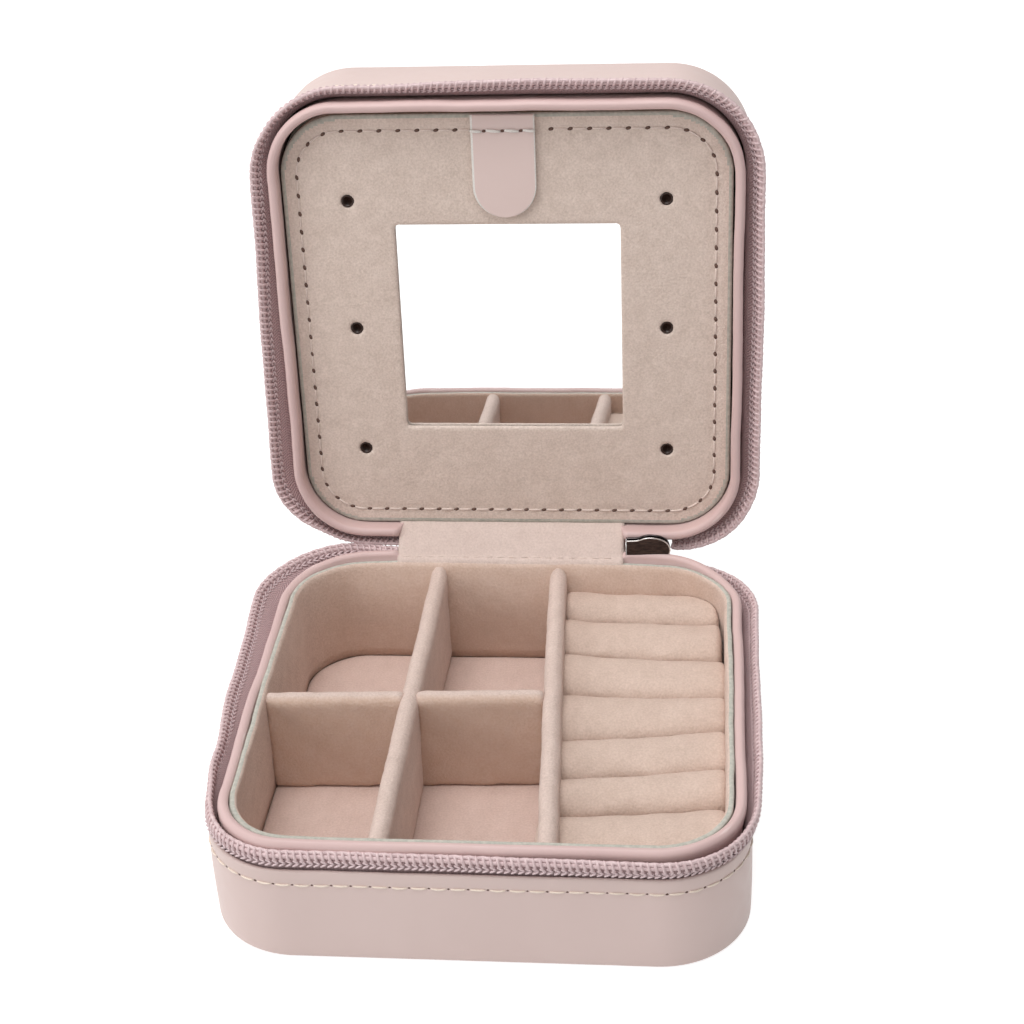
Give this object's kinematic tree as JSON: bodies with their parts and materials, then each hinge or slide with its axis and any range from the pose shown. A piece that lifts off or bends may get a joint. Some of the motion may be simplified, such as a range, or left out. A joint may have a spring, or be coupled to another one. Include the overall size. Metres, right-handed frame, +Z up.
{
  "type": "travel jewelry case",
  "caption": "Zipped rounded-square jewelry case, lid open on a soft hinge, with a swinging mirror panel, lift-out dividers and ring rolls.",
  "frame": {"origin": "middle of the tray's underside, on the table", "axes": "+Z up, +Y from the front towards the hinge, +X to the right seen from the front"},
  "size_m": [0.102, 0.1342, 0.1278],
  "materials": {
    "leather": "smooth satin dusty-pink synthetic leather",
    "lip_leather": "smooth satin pink synthetic leather",
    "velvet": "short-pile beige-pink velvet",
    "divider_velvet": "short-pile beige-pink velvet",
    "roll_velvet": "short-pile beige-pink velvet over foam",
    "board": "plain grey-brown fibreboard",
    "zip_tape": "woven mauve zip tape",
    "zip_coil": "satin nylon coil",
    "mirror": "polished",
    "gunmetal": "dark polished plating"
  },
  "bodies": {
    "tray": {"tray_shell": "leather", "tray_base_board": "board", "tray_wall_board": "board", "tray_lip": "lip_leather", "tray_liner": "velvet", "tray_floor_pad": "velvet", "tray_zip_tape": "zip_tape", "tray_zip_coil": "zip_coil", "hinge_strip_tray_half": "velvet", "hinge_spine_tray_half": "leather", "ring_divider": "divider_velvet", "ring_roll_1": "roll_velvet", "ring_roll_2": "roll_velvet", "ring_roll_3": "roll_velvet", "ring_roll_4": "roll_velvet", "ring_roll_5": "roll_velvet", "ring_roll_6": "roll_velvet", "ring_roll_7": "roll_velvet", "zip_slider": "gunmetal"},
    "lid": {"lid_shell": "leather", "lid_top_board": "board", "lid_wall_board": "board", "lid_lip": "lip_leather", "lid_liner": "velvet", "lid_lining": "velvet", "lid_zip_tape": "zip_tape", "lid_zip_coil": "zip_coil", "hinge_strip_lid_half": "velvet", "hinge_spine_lid_half": "leather"},
    "panel": {"panel_face": "velvet", "panel_frame": "board", "mirror_glass": "mirror", "panel_back": "velvet", "tab_root": "leather"},
    "tab": {"pull_tab": "leather"},
    "cross": {"cross_divider": "divider_velvet"},
    "long": {"long_divider": "divider_velvet"},
    "pull": {"zip_pull": "gunmetal"}
  },
  "joints": [
    {"name": "lid_hinge", "type": "hinge", "parent": "tray", "child": "lid", "pos_m": [0, 0.0516, 0.0255], "axis": [-1, 0, 0], "range_deg": [-93.5, 86.5]},
    {"name": "panel_swing", "type": "hinge", "parent": "lid", "child": "panel", "pos_m": [0, 0.05242, 0.03066], "axis": [1, 0, 0], "range_deg": [0, 75]},
    {"name": "tab_lift", "type": "hinge", "parent": "panel", "child": "tab", "pos_m": [0, 0.06069, 0.11842], "axis": [-1, 0, 0], "range_deg": [0, 120]},
    {"name": "cross_divider_lift", "type": "slide", "parent": "tray", "child": "cross", "axis": [0, 0, 1], "range_m": [0, 0.03]},
    {"name": "long_divider_lift", "type": "slide", "parent": "cross", "child": "long", "axis": [0, 0, 1], "range_m": [0, 0.03]},
    {"name": "zip_pull_lift", "type": "hinge", "parent": "tray", "child": "pull", "pos_m": [0.0286, 0.0524, 0.0264], "axis": [-1, 0, 0], "range_deg": [-75, 0]}
  ]
}
